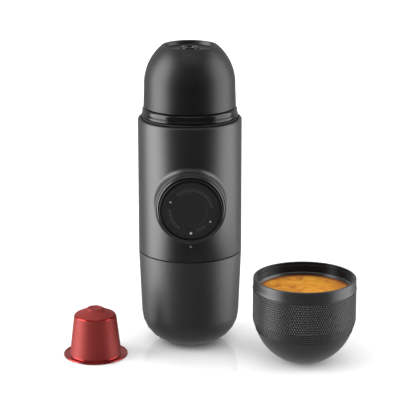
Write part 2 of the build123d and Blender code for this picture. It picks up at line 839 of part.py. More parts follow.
gasket_low = neck_top + run_gap
screen_top = gasket_low + capsule_gasket_thickness
insert_bottom = screen_top + run_gap
dish_level = head_top - dish_depth
spout_seat_height = dish_level - spout_length
dome_arc_end = head_bottom + dome_side
dome_arc_end_radius = dome_radius - dome_taper

with BuildPart() as head_shell:
    with BuildSketch(maker_section) as dome_outside:
        with BuildLine():
            Line((0, head_bottom), (dome_radius, head_bottom))
            Line((dome_radius, head_bottom), (dome_arc_end_radius, dome_arc_end))
            RadiusArc(
                (dome_arc_end_radius, dome_arc_end),
                (dome_top_radius, head_top),
                -dome_arc_radius,
            )
            Polyline((dome_top_radius, head_top), (0, head_top), (0, head_bottom))
        make_face()
        fillet(corner(dome_outside, dome_top_radius, head_top), dome_lip / 2)
    revolve(axis=Axis.Z)
    with BuildSketch(maker_section):
        with BuildLine():
            Line((0, head_bottom), (dome_radius - dome_wall, head_bottom))
            Line(
                (dome_radius - dome_wall, head_bottom),
                (dome_arc_end_radius - dome_wall, dome_arc_end),
            )
            RadiusArc(
                (dome_arc_end_radius - dome_wall, dome_arc_end),
                (dome_top_radius - dome_lip, dish_level - dome_wall),
                -(dome_arc_radius - dome_wall),
            )
            Polyline(
                (dome_top_radius - dome_lip, dish_level - dome_wall),
                (0, dish_level - dome_wall),
                (0, head_bottom),
            )
        make_face()
    revolve(axis=Axis.Z, mode=Mode.SUBTRACT)
    with BuildSketch(maker_section):
        outline(
            (0, dish_level),
            (dish_radius - dish_taper, dish_level),
            (dish_radius, head_top),
            (0, head_top),
        )
    revolve(axis=Axis.Z, mode=Mode.SUBTRACT)
    with BuildSketch(maker_section):
        block(0, spout_seat_radius, spout_seat_height, dish_level)
    revolve(axis=Axis.Z)
    with BuildSketch(maker_section):
        block(0, outlet_hole, spout_seat_height, dish_level)
    revolve(axis=Axis.Z, mode=Mode.SUBTRACT)
head_shell.part.label = "head_shell"
export_step(head_shell.part, "parts/head_shell.step")

insert_top = insert_bottom + insert_thickness
spout_top = dish_level + edge_break

with BuildPart() as outlet_insert:
    with BuildSketch(maker_section):
        outline(
            (funnel_radius, insert_bottom),
            (insert_radius, insert_bottom),
            (insert_radius, insert_top),
            (funnel_radius + insert_wall / 2, insert_top),
            (spout_seat_radius, spout_seat_height - insert_wall),
            (spout_seat_radius, spout_seat_height),
            (spout_radius, spout_seat_height),
            (spout_radius, spout_top),
            (spout_bore, spout_top),
            (spout_bore, spout_seat_height - insert_wall),
        )
    revolve(axis=Axis.Z)
outlet_insert.part.label = "outlet_insert"
export_step(outlet_insert.part, "parts/outlet_insert.step")

screen_bottom = screen_top - screen_thickness

with BuildPart() as screen_plate:
    with BuildSketch(Plane.XY.offset(screen_bottom)):
        Circle(screen_radius)
        with GridLocations(screen_pitch, screen_pitch, 6, 6):
            Circle(screen_hole, mode=Mode.SUBTRACT)
    extrude(amount=screen_thickness)
    with BuildSketch(Plane.XY.offset(screen_bottom)):
        with GridLocations(screen_pitch, screen_pitch, 5, 5):
            Rectangle(screen_bump_side, screen_bump_side)
    extrude(amount=-screen_bump, taper=25)
screen_plate.part.label = "screen_plate"
export_step(screen_plate.part, "parts/screen_plate.step")

with BuildPart() as capsule_gasket:
    with BuildSketch(maker_section):
        block(screen_radius + run_gap, insert_radius - seam_gap, gasket_low, screen_top)
    revolve(axis=Axis.Z)
capsule_gasket.part.label = "capsule_gasket"
export_step(capsule_gasket.part, "parts/capsule_gasket.step")

# ---------------------------------------------------------------------------------------------
# Cup, the textured band that is seated round it, and the coffee in it
# ---------------------------------------------------------------------------------------------

cup_ball_height = sqrt(cup_ball_radius**2 - cup_foot**2)
cup_band_high = cup_height - cup_collar_height - cup_groove
cup_seat_radius = cup_radius - cup_band_thickness
cup_inner_radius = cup_ball_radius - cup_wall
cup_ledge = cup_height - cup_collar_height


def cup_hollow(radius, top):
    """Half of the cup's inside with its rounded bottom, up to a level, in the sketch that is open."""
    with Locations((0, cup_ball_height)):
        Circle(radius)
    block(-cup_ball_radius, cup_ball_radius, cup_ball_height, cup_height * 2, mode=Mode.SUBTRACT)
    block(0, radius, cup_ball_height, top)
    block(-cup_ball_radius, 0, -cup_ball_radius, cup_height, mode=Mode.SUBTRACT)
    block(0, cup_ball_radius, -cup_ball_radius, cup_wall, mode=Mode.SUBTRACT)


with BuildPart() as cup_shell:
    with BuildSketch(cup_section) as cup_outside:
        with Locations((0, cup_ball_height)):
            Circle(cup_ball_radius)
        block(-cup_ball_radius, cup_ball_radius, cup_band_low, cup_ball_height * 3, mode=Mode.SUBTRACT)
        block(0, cup_seat_radius, cup_band_break, cup_height)
        outline(
            (0, cup_band_low),
            (cup_band_low_radius - cup_band_thickness, cup_band_low),
            (cup_seat_radius, cup_band_break),
            (0, cup_band_break),
        )
        block(0, cup_radius, cup_height - cup_collar_height, cup_height)
        block(-cup_ball_radius, 0, -cup_ball_radius, cup_height, mode=Mode.SUBTRACT)
        block(0, cup_ball_radius, -cup_ball_radius, 0, mode=Mode.SUBTRACT)
        fillet(corner(cup_outside, cup_radius, cup_height), cup_rim_round)
        fillet(corner(cup_outside, cup_radius, cup_height - cup_collar_height), edge_break)
        fillet(corner(cup_outside, cup_foot, 0), cup_wall)
    revolve(axis=cup_axis)
    with BuildSketch(cup_section):
        cup_hollow(cup_inner_radius, cup_ledge)
        block(0, cup_mouth, cup_ledge, cup_height)
    revolve(axis=cup_axis, mode=Mode.SUBTRACT)
cup_shell.part.label = "cup_shell"
export_step(cup_shell.part, "parts/cup_shell.step")

with BuildPart() as cup_grip_band:
    with BuildSketch(cup_section) as band_outline:
        outline(
            (cup_seat_radius + fit_gap, cup_band_high),
            (cup_radius, cup_band_high),
            (cup_radius, cup_band_break),
            (cup_band_low_radius, cup_band_low + fit_gap),
            (cup_band_low_radius - cup_band_thickness + fit_gap, cup_band_low + fit_gap),
            (cup_seat_radius + fit_gap, cup_band_break),
        )
        fillet(corner(band_outline, cup_radius, cup_band_high), edge_break)
        fillet(corner(band_outline, cup_radius, cup_band_break), cup_band_thickness)
    revolve(axis=cup_axis)
cup_grip_band.part.label = "cup_grip_band"
export_step(cup_grip_band.part, "parts/cup_grip_band.step")

with BuildPart() as espresso:
    with BuildSketch(cup_section):
        cup_hollow(cup_inner_radius - fit_gap, cup_ledge - coffee_drop)
    revolve(axis=cup_axis)
espresso.part.label = "espresso"
export_step(espresso.part, "parts/espresso.step")

# ---------------------------------------------------------------------------------------------
# Capsule, standing on its foil
# ---------------------------------------------------------------------------------------------

nose_step_low = capsule_height - nose_step_height
flange_top = capsule_foil_thickness + capsule_flange
curl_radius = (capsule_rim_thickness - capsule_foil_thickness) / 2
curl_centre = capsule_rim_radius - curl_radius

with BuildPart() as capsule_shell:
    with BuildSketch(capsule_section) as capsule_outside:
        outline(
            (0, capsule_foil_thickness),
            (curl_centre, capsule_foil_thickness),
            (curl_centre, flange_top),
            (capsule_mouth, flange_top),
            (capsule_nose, capsule_shoulder),
            (nose_step_radius, nose_step_low),
            (nose_step_radius - nose_step_taper, capsule_height),
            (nose_recess_radius, capsule_height),
            (nose_recess_radius - nose_step_taper, capsule_height - nose_recess_depth),
            (0, capsule_height - nose_recess_depth),
        )
        fillet(corner(capsule_outside, capsule_nose, capsule_shoulder), capsule_edge)
        with Locations((curl_centre, capsule_foil_thickness + curl_radius)):
            Circle(curl_radius)
    revolve(axis=capsule_axis)
    with BuildSketch(capsule_section):
        outline(
            (0, capsule_foil_thickness),
            (capsule_mouth - capsule_wall, capsule_foil_thickness),
            (capsule_mouth - capsule_wall, flange_top),
            (capsule_nose - capsule_wall, capsule_shoulder - capsule_wall),
            (nose_step_radius - capsule_wall, nose_step_low - capsule_wall),
            (0, nose_step_low - capsule_wall),
        )
    revolve(axis=capsule_axis, mode=Mode.SUBTRACT)
capsule_shell.part.label = "capsule_shell"
export_step(capsule_shell.part, "parts/capsule_shell.step")

with BuildPart() as capsule_foil:
    with BuildSketch(capsule_section):
        block(0, capsule_rim_radius - foil_margin, 0, capsule_foil_thickness)
    revolve(axis=capsule_axis)
capsule_foil.part.label = "capsule_foil"
export_step(capsule_foil.part, "parts/capsule_foil.step")

grounds_gap = 2 * capsule_wall

with BuildPart() as coffee_grounds:
    with BuildSketch(capsule_section):
        outline(
            (0, capsule_foil_thickness + fit_gap),
            (capsule_mouth - grounds_gap, capsule_foil_thickness + fit_gap),
            (capsule_nose - grounds_gap, capsule_shoulder - grounds_space),
            (0, capsule_shoulder - grounds_space),
        )
    revolve(axis=capsule_axis)
coffee_grounds.part.label = "coffee_grounds"
export_step(coffee_grounds.part, "parts/coffee_grounds.step")
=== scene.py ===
"""Looks of the handheld espresso maker, its cup and one coffee capsule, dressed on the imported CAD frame.

Every piece is in metres in the CAD frame: the maker's axis is upright, and its knob faces -Y.
The sections follow the maker as it is put together, from the water tank up to the outlet head.
"""

import math

import bmesh
import bpy
from mathutils import Matrix, Vector


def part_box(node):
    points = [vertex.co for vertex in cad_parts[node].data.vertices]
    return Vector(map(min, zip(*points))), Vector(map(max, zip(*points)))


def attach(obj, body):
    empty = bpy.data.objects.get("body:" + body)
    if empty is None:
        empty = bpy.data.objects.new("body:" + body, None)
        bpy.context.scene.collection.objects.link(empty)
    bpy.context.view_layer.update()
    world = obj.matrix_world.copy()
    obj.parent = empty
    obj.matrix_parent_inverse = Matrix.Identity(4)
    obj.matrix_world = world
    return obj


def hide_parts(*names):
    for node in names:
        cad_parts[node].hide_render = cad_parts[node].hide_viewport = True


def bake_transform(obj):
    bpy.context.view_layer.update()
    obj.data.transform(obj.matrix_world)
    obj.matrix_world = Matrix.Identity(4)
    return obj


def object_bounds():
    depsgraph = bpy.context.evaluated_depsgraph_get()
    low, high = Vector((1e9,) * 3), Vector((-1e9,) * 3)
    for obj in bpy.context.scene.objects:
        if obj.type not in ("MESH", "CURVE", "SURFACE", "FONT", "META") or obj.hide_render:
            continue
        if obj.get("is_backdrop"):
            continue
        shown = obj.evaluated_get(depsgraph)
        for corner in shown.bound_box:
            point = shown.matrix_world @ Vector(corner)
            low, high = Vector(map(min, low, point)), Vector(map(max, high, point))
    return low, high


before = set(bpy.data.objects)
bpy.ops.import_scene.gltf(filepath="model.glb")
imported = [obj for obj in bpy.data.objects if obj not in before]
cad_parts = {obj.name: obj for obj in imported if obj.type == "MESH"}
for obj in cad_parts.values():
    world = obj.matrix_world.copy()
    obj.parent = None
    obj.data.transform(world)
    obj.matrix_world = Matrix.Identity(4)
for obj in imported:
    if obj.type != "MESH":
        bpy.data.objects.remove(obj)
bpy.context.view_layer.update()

# ---------------------------------------------------------------------------------------------
# Camera: a long lens in front of the knob, a little above the maker's top.
# ---------------------------------------------------------------------------------------------

camera = bpy.data.objects.new("camera", bpy.data.cameras.new("camera"))
bpy.context.scene.collection.objects.link(camera)
camera.location = (-0.0119, -1.032, 0.376)
camera.rotation_euler = (math.radians(90 - 15.99), 0, math.radians(-1.243))
camera.data.lens = 159
camera.data.sensor_width = 36
camera.data.clip_start, camera.data.clip_end = 0.05, 20
bpy.context.scene.camera = camera

# ---------------------------------------------------------------------------------------------
# Studio: a glossy white table that runs out to white, two tall soft boxes straight to the sides and
# a weak one above. The room is dark round the camera and pale behind and below the maker.
# ---------------------------------------------------------------------------------------------

bpy.context.scene.view_settings.view_transform = "Standard"


def soft_box(name, place, size, watts, aim):
    """A rectangular soft light that faces the point aim."""
    lamp = bpy.data.lights.new(name, "AREA")
    lamp.shape, lamp.size, lamp.size_y, lamp.energy = "RECTANGLE", size[0], size[1], watts
    box = bpy.data.objects.new(name, lamp)
    bpy.context.scene.collection.objects.link(box)
    box.location = place
    box.rotation_euler = (Vector(aim) - Vector(place)).to_track_quat("-Z", "Y").to_euler()


soft_box("left_soft_box", (-1.0, -0.12, 0.36), (0.90, 1.72), 26.0, (0, -0.12, 0.36))
soft_box("right_soft_box", (1.0, 0.0, 0.32), (0.96, 1.64), 13.7, (0, 0.0, 0.32))
soft_box("top_soft_box", (0.0, -0.35, 1.20), (0.9, 0.5), 1.2, (0, 0, 0.1))

sky = bpy.data.worlds.new("studio")
bpy.context.scene.world = sky
sky.use_nodes = True
nodes, links = sky.node_tree.nodes, sky.node_tree.links
nodes.clear()
ray = nodes.new("ShaderNodeLightPath")
direction = nodes.new("ShaderNodeTexCoord")
split = nodes.new("ShaderNodeSeparateXYZ")
links.new(direction.outputs["Generated"], split.inputs[0])
depth = nodes.new("ShaderNodeMapRange")  # the room is dark round the camera and white behind the maker
depth.interpolation_type = "SMOOTHSTEP"
depth.inputs["From Min"].default_value, depth.inputs["From Max"].default_value = -0.20, 0.85
depth.inputs["To Min"].default_value, depth.inputs["To Max"].default_value = 0.02, 0.45
links.new(split.outputs["Y"], depth.inputs["Value"])
below = nodes.new("ShaderNodeMapRange")  # faces that look down reflect a pale table
below.interpolation_type = "SMOOTHSTEP"
below.inputs["From Min"].default_value, below.inputs["From Max"].default_value = -0.35, -0.90
below.inputs["To Min"].default_value, below.inputs["To Max"].default_value = 0.0, 0.28
links.new(split.outputs["Z"], below.inputs["Value"])
brightness = nodes.new("ShaderNodeMath")
brightness.operation = "ADD"
links.new(depth.outputs[0], brightness.inputs[0])
links.new(below.outputs[0], brightness.inputs[1])
room = nodes.new("ShaderNodeBackground")
room.inputs["Color"].default_value = (1, 1, 1, 1)
links.new(brightness.outputs[0], room.inputs["Strength"])
fill = nodes.new("ShaderNodeBackground")
fill.inputs["Color"].default_value = (1, 1, 1, 1)
overhead = nodes.new("ShaderNodeMapRange")  # the soft fill comes mostly from straight above
overhead.inputs["To Min"].default_value, overhead.inputs["To Max"].default_value = 0.15, 1.35
links.new(split.outputs["Z"], overhead.inputs["Value"])
links.new(overhead.outputs[0], fill.inputs["Strength"])
white = nodes.new("ShaderNodeBackground")
white.inputs["Color"].default_value = (1, 1, 1, 1)
white.inputs["Strength"].default_value = 1.0
for_gloss = nodes.new("ShaderNodeMixShader")
links.new(ray.outputs["Is Glossy Ray"], for_gloss.inputs[0])
links.new(fill.outputs[0], for_gloss.inputs[1])
links.new(room.outputs[0], for_gloss.inputs[2])
for_view = nodes.new("ShaderNodeMixShader")
seen = nodes.new("ShaderNodeMath")
seen.operation = "MAXIMUM"
links.new(ray.outputs["Is Camera Ray"], seen.inputs[0])
links.new(ray.outputs["Is Transmission Ray"], seen.inputs[1])
links.new(seen.outputs[0], for_view.inputs[0])
links.new(for_gloss.outputs[0], for_view.inputs[1])
links.new(white.outputs[0], for_view.inputs[2])
sky_out = nodes.new("ShaderNodeOutputWorld")
links.new(for_view.outputs[0], sky_out.inputs[0])

bm = bmesh.new()
bmesh.ops.create_grid(bm, x_segments=1, y_segments=1, size=6)
table = bpy.data.objects.new("table_top", bpy.data.meshes.new("table_top"))
bm.to_mesh(table.data)
bm.free()
bpy.context.scene.collection.objects.link(table)
table.visible_glossy = False  # the maker reflects the dark room below the table's edge and not the table
table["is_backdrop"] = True

table_white = bpy.data.materials.new("table_white")
table_white.use_nodes = True
nodes, links = table_white.node_tree.nodes, table_white.node_tree.links
surface = nodes["Principled BSDF"]
surface.inputs["Base Color"].default_value = (0.80, 0.80, 0.80, 1)
surface.inputs["Roughness"].default_value = 0.16
surface.inputs["Coat Weight"].default_value = 1.0
surface.inputs["Coat Roughness"].default_value = 0.04
glow = nodes.new("ShaderNodeEmission")
place = nodes.new("ShaderNodeTexCoord")
away = nodes.new("ShaderNodeVectorMath")
away.operation = "LENGTH"
links.new(place.outputs["Object"], away.inputs[0])
runs_out = nodes.new("ShaderNodeMapRange")  # the table runs out to plain white away from the maker
runs_out.inputs["From Min"].default_value, runs_out.inputs["From Max"].default_value = 0.15, 1.0
runs_out.inputs["To Min"].default_value, runs_out.inputs["To Max"].default_value = 0.32, 1.05
links.new(away.outputs["Value"], runs_out.inputs["Value"])
ray = nodes.new("ShaderNodeLightPath")
open_to_sky = nodes.new("ShaderNodeAmbientOcclusion")  # and less where a piece hangs close over it: a painted contact shade under the pieces
open_to_sky.inputs["Distance"].default_value = 0.032
clear = nodes.new("ShaderNodeMath")
clear.operation = "MULTIPLY"
links.new(runs_out.outputs[0], clear.inputs[0])
links.new(open_to_sky.outputs["AO"], clear.inputs[1])
lift = nodes.new("ShaderNodeMath")
lift.operation = "MULTIPLY"
links.new(clear.outputs[0], lift.inputs[1])
links.new(ray.outputs["Is Camera Ray"], lift.inputs[0])
links.new(lift.outputs[0], glow.inputs["Strength"])
both = nodes.new("ShaderNodeAddShader")
links.new(surface.outputs[0], both.inputs[0])
links.new(glow.outputs[0], both.inputs[1])
links.new(both.outputs[0], nodes["Material Output"].inputs["Surface"])
table.data.materials.append(table_white)

# ---------------------------------------------------------------------------------------------
# Water tank: one moulded plastic beaker with a rounded end, satin and finely grained outside.
# Inside its mouth are two turns of screw thread that hold it to the body.
# ---------------------------------------------------------------------------------------------

MM = 0.001


def chain(bm, outline, closed):
    """A half section in the XZ plane, in millimetres. A point is (radius, height) or (radius, height,
    rounding). ("arc", radius, height, arc radius, steps) swings the last point on to there, to the left
    where the arc radius is positive, and may end with the rounding of that corner."""
    corners, first, last = [], None, None
    for point in outline:
        if point[0] == "arc":
            _, radius, height, bend, steps = point[:5]
            goal = Vector((radius * MM, 0, height * MM))
            half = (goal - last.co) / 2
            left = Vector((-half.z, 0, half.x)).normalized() * math.copysign(1, bend)
            centre = last.co + half + left * math.sqrt((bend * MM) ** 2 - half.length_squared)
            swung = bmesh.ops.spin(
                bm, geom=[last], cent=centre, axis=(0, -1, 0), dvec=(0, 0, 0), steps=steps,
                angle=2 * math.asin(half.length / (bend * MM)), use_merge=False, use_duplicate=False,
            )
            last = swung["geom_last"][0]
            if len(point) > 5:
                corners.append((last, point[5]))
            continue
        vert = bm.verts.new((point[0] * MM, 0, point[1] * MM))
        if last is not None:
            bm.edges.new((last, vert))
        first, last = first or vert, vert
        if len(point) > 2:
            corners.append((vert, point[2]))
    if closed:
        bm.edges.new((last, first))
    for vert, rounding in corners:
        bmesh.ops.bevel(
            bm, geom=[vert], offset=rounding * MM, offset_type="OFFSET", segments=6, profile=0.5,
            affect="VERTICES", material=-1,
        )


def finish_mesh(bm, name, merge=True):
    """Closes seams, turns the faces outwards, shades smooth with crisp edges and adds the piece."""
    if merge:
        bmesh.ops.remove_doubles(bm, verts=bm.verts, dist=0.000002)
    bmesh.ops.recalc_face_normals(bm, faces=bm.faces)
    mesh = bpy.data.meshes.new(name)
    bm.to_mesh(mesh)
    bm.free()
    mesh.shade_smooth()
    mesh.set_sharp_from_angle(angle=math.radians(34))
    piece = bpy.data.objects.new(name, mesh)
    bpy.context.scene.collection.objects.link(piece)
    return piece


def turned(bm, outline, middle=(0, 0), closed=True):
    """Spins a half section round an upright axis that stands at middle, in millimetres."""
    sides = 160
    chain(bm, outline, closed)
    bmesh.ops.spin(
        bm, geom=bm.verts[:] + bm.edges[:], cent=(0, 0, 0), axis=(0, 0, 1), dvec=(0, 0, 0),
        angle=math.tau, steps=sides, use_merge=True, use_duplicate=False,
    )
    bmesh.ops.remove_doubles(bm, verts=bm.verts, dist=0.000002)
    bmesh.ops.translate(bm, verts=bm.verts, vec=(middle[0] * MM, middle[1] * MM, 0))


def thread(root, crest, low):
    """The ridges of a right-hand thread with two starts, as a bmesh of their own: a blunt section of the
    root and crest radii, in millimetres, wound up from the height low. A turn rises 5 mm."""
    pitch, rise, degrees, steps = 2.5, 7.2, 520, 130
    ridges = bmesh.new()
    for start in (0, 0.5):
        section = [
            ridges.verts.new((root * MM, 0, low * MM)),
            ridges.verts.new((crest * MM, 0, (low + 0.28 * pitch) * MM)),
            ridges.verts.new((crest * MM, 0, (low + 0.42 * pitch) * MM)),
            ridges.verts.new((root * MM, 0, (low + 0.70 * pitch) * MM)),
        ]
        face = ridges.faces.new(section)
        turn = Matrix.Rotation(math.tau * start, 3, "Z")
        bmesh.ops.rotate(ridges, verts=section, cent=(0, 0, 0), matrix=turn)
        bmesh.ops.spin(
            ridges, geom=[face], cent=(0, 0, 0), axis=(0, 0, 1), dvec=(0, 0, rise * MM / steps),
            angle=math.radians(degrees), steps=steps, use_merge=False, use_duplicate=False,
        )
    return ridges


def corners_of(made):
    """The vertices among what a bmesh operation has made."""
    return [part for part in made["geom"] if isinstance(part, bmesh.types.BMVert)]


def add_to(bm, other):
    """Puts another bmesh beside this one as closed bodies of the same piece."""
    bmesh.ops.recalc_face_normals(other, faces=other.faces)
    scrap = bpy.data.meshes.new("scrap")
    other.to_mesh(scrap)
    other.free()
    bm.from_mesh(scrap)
    bpy.data.meshes.remove(scrap)


def moulded(name, colour, roughness, grain=0.00030, depth=0.012, drift=0.10, specular=0.5):
    """Moulded plastic: its colour drifts a little, its gloss is uneven, and a fine grain stands in the
    surface. The grain's width is in metres and its depth in millimetres."""
    material = bpy.data.materials.new(name)
    material.use_nodes = True
    nodes, links = material.node_tree.nodes, material.node_tree.links
    shader = nodes["Principled BSDF"]
    shader.inputs["Specular IOR Level"].default_value = specular
    place = nodes.new("ShaderNodeTexCoord")
    cloud = nodes.new("ShaderNodeTexNoise")
    cloud.inputs["Scale"].default_value = 45
    cloud.inputs["Detail"].default_value = 3
    links.new(place.outputs["Object"], cloud.inputs["Vector"])
    tint = nodes.new("ShaderNodeMix")
    tint.data_type = "RGBA"
    tint.inputs["A"].default_value = (*[c * (1 - drift) for c in colour], 1)
    tint.inputs["B"].default_value = (*[c * (1 + drift) for c in colour], 1)
    links.new(cloud.outputs["Fac"], tint.inputs["Factor"])
    links.new(tint.outputs["Result"], shader.inputs["Base Color"])
    speck = nodes.new("ShaderNodeTexNoise")
    speck.inputs["Scale"].default_value = 1 / grain
    speck.inputs["Detail"].default_value = 2
    links.new(place.outputs["Object"], speck.inputs["Vector"])
    gloss = nodes.new("ShaderNodeMapRange")
    gloss.inputs["To Min"].default_value = roughness * 0.90
    gloss.inputs["To Max"].default_value = roughness * 1.10
    links.new(speck.outputs["Fac"], gloss.inputs["Value"])
    links.new(gloss.outputs[0], shader.inputs["Roughness"])
    bump = nodes.new("ShaderNodeBump")
    bump.inputs["Strength"].default_value = 1.0
    bump.inputs["Distance"].default_value = depth * MM
    links.new(speck.outputs["Fac"], bump.inputs["Height"])
    links.new(bump.outputs[0], shader.inputs["Normal"])
    return material


bm = bmesh.new()
turned(bm, [
    (0, 0), (27.75, 0, 18.2), (30, 55.75, 0.3), (28, 55.75, 0.2), (28, 45.75), (26.2, 45.75),
    (26.2, 2.2, 16.5), (0, 2.2),
], closed=False)
add_to(bm, thread(28.05, 27.75, 47.0))
tank = finish_mesh(bm, "tank", merge=False)
# Painted light: the tank's grey is painted lighter than the housing's, to make up for the shade that falls on
# it near the table.
tank.data.materials.append(moulded("tank_grey_painted_lighter", (0.0150, 0.0154, 0.0163), 0.50, specular=1.0))
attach(tank, "water_tank")
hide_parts("water_tank")

# ---------------------------------------------------------------------------------------------
# Seal between tank and body: a flat black rubber ring on the tank's ledge. The strainer above it is
# a pressed steel cap with rolled holes that keeps grit out of the pump.
# ---------------------------------------------------------------------------------------------


def dress(node, material):
    """Gives a CAD node its finish."""
    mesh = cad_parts[node].data
    mesh.materials.clear()
    mesh.materials.append(material)


def metal(name, colour, roughness, depth=0.004, metallic=1.0):
    """Bare or anodised metal, with a finer and shallower grain in its surface than the plastics have."""
    material = moulded(name, colour, roughness, depth=depth, drift=0.06)
    material.node_tree.nodes["Principled BSDF"].inputs["Metallic"].default_value = metallic
    return material


black_rubber = moulded("black_rubber", (0.018, 0.018, 0.018), 0.62, grain=0.0005, depth=0.02)
pressed_steel = metal("pressed_steel", (0.56, 0.56, 0.57), 0.24)
dress("tank_gasket", black_rubber)
dress("inlet_strainer", pressed_steel)

# ---------------------------------------------------------------------------------------------
# Lower bulkhead: one moulding in glass-filled grey nylon that closes the housing from below, with
# the posts and the pump's cradle. The ring under it carries the male thread for the tank.
# ---------------------------------------------------------------------------------------------

grey_nylon = moulded("grey_nylon", (0.13, 0.135, 0.14), 0.55, grain=0.0006, depth=0.03, drift=0.14)
dress("lower_bulkhead", grey_nylon)

polished_black = moulded("polished_black", (0.006, 0.006, 0.0065), 0.19, grain=0.0015, depth=0.003)

bm = bmesh.new()
turned(bm, [(25.4, 46.95, 0.3), (26.95, 46.95, 0.3), (26.95, 57.75), (25.4, 57.75)])
add_to(bm, thread(26.9, 27.55, 47.2))
tank_thread = finish_mesh(bm, "tank_thread", merge=False)
tank_thread.data.materials.append(polished_black)
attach(tank_thread, "main_body")
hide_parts("tank_thread_ring")

# ---------------------------------------------------------------------------------------------
# Pump: a moulded cylinder with its screwed end cap, and white acetal valve seats with rubber balls.
# The manifold clamps it down and leads the water to the middle of the deck.
# ---------------------------------------------------------------------------------------------

white_acetal = moulded("white_acetal", (0.60, 0.60, 0.57), 0.38, grain=0.0006, depth=0.01)
for node in ("pump_cylinder", "cylinder_end_cap", "brew_manifold"):
    dress(node, grey_nylon)
for node in ("inlet_valve_seat", "outlet_valve_seat"):
    dress(node, white_acetal)
for node in ("end_cap_seal", "inlet_valve_ball", "outlet_valve_ball"):
    dress(node, black_rubber)

# ---------------------------------------------------------------------------------------------
# Springs: drawn stainless wire, wound with closed ends. The two small ones press the valve balls
# down, and the large one lies round the pump and pushes the piston out.
# ---------------------------------------------------------------------------------------------

drawn_wire = metal("drawn_wire", (0.50, 0.51, 0.53), 0.30)


def spring(name, node, coil, wire, turns, tall, middle, upright):
    """Round wire wound from a small disc: one closed turn at each end and open turns between."""
    bm = bmesh.new()
    bmesh.ops.create_circle(bm, cap_ends=True, segments=10, radius=wire / 2 * MM)
    bmesh.ops.rotate(bm, verts=bm.verts, cent=(0, 0, 0), matrix=Matrix.Rotation(math.pi / 2, 3, "X"))
    bmesh.ops.translate(bm, verts=bm.verts, vec=(coil * MM, 0, wire / 2 * MM))
    open_rise = (tall - wire) - 2 * wire
    for part_turns, rise in ((1, wire), (turns, open_rise), (1, wire)):
        last = [f for f in bm.faces if len(f.verts) == 10][-1]
        steps = int(part_turns * 28)
        bmesh.ops.spin(
            bm, geom=[last], cent=(0, 0, 0), axis=(0, 0, 1), dvec=(0, 0, rise * MM / steps),
            angle=math.tau * part_turns, steps=steps, use_merge=False, use_duplicate=False,
        )
        bm.faces.ensure_lookup_table()
    if not upright:
        bmesh.ops.rotate(bm, verts=bm.verts, cent=(0, 0, 0), matrix=Matrix.Rotation(-math.pi / 2, 3, "X"))
    bmesh.ops.translate(bm, verts=bm.verts, vec=Vector(middle) * MM)
    wound = finish_mesh(bm, name)
    wound.data.materials.append(drawn_wire)
    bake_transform(wound)
    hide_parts(node)


for valve in ("inlet", "outlet"):
    node = valve + "_valve_spring"
    low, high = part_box(node)
    spring(
        node + "_wire", node, 1.9, 0.4, 3, (high.z - low.z) / MM, (0, 16, low.z / MM), True,
    )
low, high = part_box("return_spring")
spring(
    "return_spring_wire", "return_spring", 10.05, 1.4, 5, (high.y - low.y) / MM, (0, low.y / MM, 90), False,
)

# ---------------------------------------------------------------------------------------------
# Deck with the neck that the head screws onto, in polished black plastic, and four steel screws
# with round sockets that draw the deck down onto the posts.
# ---------------------------------------------------------------------------------------------

dress("brew_deck", polished_black)

bm = bmesh.new()
turned(bm, [(21.2, 118.5), (23.05, 118.5), (23.05, 150, 0.2), (22.4, 150, 0.15), (22.4, 147), (21.2, 147)])
add_to(bm, thread(23.0, 23.55, 141.6))
neck = finish_mesh(bm, "neck", merge=False)
neck.data.materials.append(polished_black)
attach(neck, "main_body")
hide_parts("threaded_neck")

bm = bmesh.new()
low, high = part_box("deck_screws")
SHANK_RADIUS, HEAD_HEIGHT = 0.9, 1.5
for angle in (20, -20, 160, 200):
    at = Matrix.Rotation(math.radians(angle), 3, "Z") @ Vector((25.7 * MM, 0, 0))
    screw = bmesh.new()
    bmesh.ops.create_circle(screw, cap_ends=True, segments=24, radius=SHANK_RADIUS * MM)
    shank = bmesh.ops.extrude_face_region(screw, geom=screw.faces[:])
    up = (0, 0, high.z - HEAD_HEIGHT * MM - low.z)
    bmesh.ops.translate(screw, verts=corners_of(shank), vec=up)
    top = [f for f in shank["geom"] if isinstance(f, bmesh.types.BMFace)]
    for grow, rise in ((0.8, 0.0), (0.0, 1.1), (-0.45, 0.4), (-0.35, 0.0), (0.0, -0.8)):
        scale = 1 + grow * MM / max(v.co.xy.length for v in top[0].verts)
        step = bmesh.ops.extrude_face_region(screw, geom=top)
        bmesh.ops.scale(screw, verts=corners_of(step), vec=(scale, scale, 1))
        bmesh.ops.delete(screw, geom=top, context="FACES_ONLY")
        bmesh.ops.translate(screw, verts=corners_of(step), vec=(0, 0, rise * MM))
        top = [f for f in step["geom"] if isinstance(f, bmesh.types.BMFace)]
    bmesh.ops.translate(screw, verts=screw.verts, vec=(at.x, at.y, low.z))
    add_to(bm, screw)
screws = finish_mesh(bm, "deck_screw_set", merge=False)
screws.data.materials.append(pressed_steel)
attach(screws, "main_body")
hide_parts("deck_screws")

# ---------------------------------------------------------------------------------------------
# Capsule holder: a polished black cup for the capsule. Its needle plate is a pressed steel disc
# whose three points pierce the capsule's nose.
# ---------------------------------------------------------------------------------------------

dress("capsule_holder", polished_black)
dress("needle_plate", pressed_steel)

# ---------------------------------------------------------------------------------------------
# Housing: a satin grey tube with the round boss for the knob. It is one moulding, and a small
# triangle printed under the boss shows where the knob's dot is when the knob is locked.
# ---------------------------------------------------------------------------------------------

bm = bmesh.new()
bm.from_mesh(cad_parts["body_housing"].data)
bmesh.ops.remove_doubles(bm, verts=bm.verts, dist=0.01 * MM)


def off_pump(vert):
    """How far a vertex lies from the pump's axis, in millimetres."""
    return math.hypot(vert.co.x, vert.co.z - 90 * MM) / MM


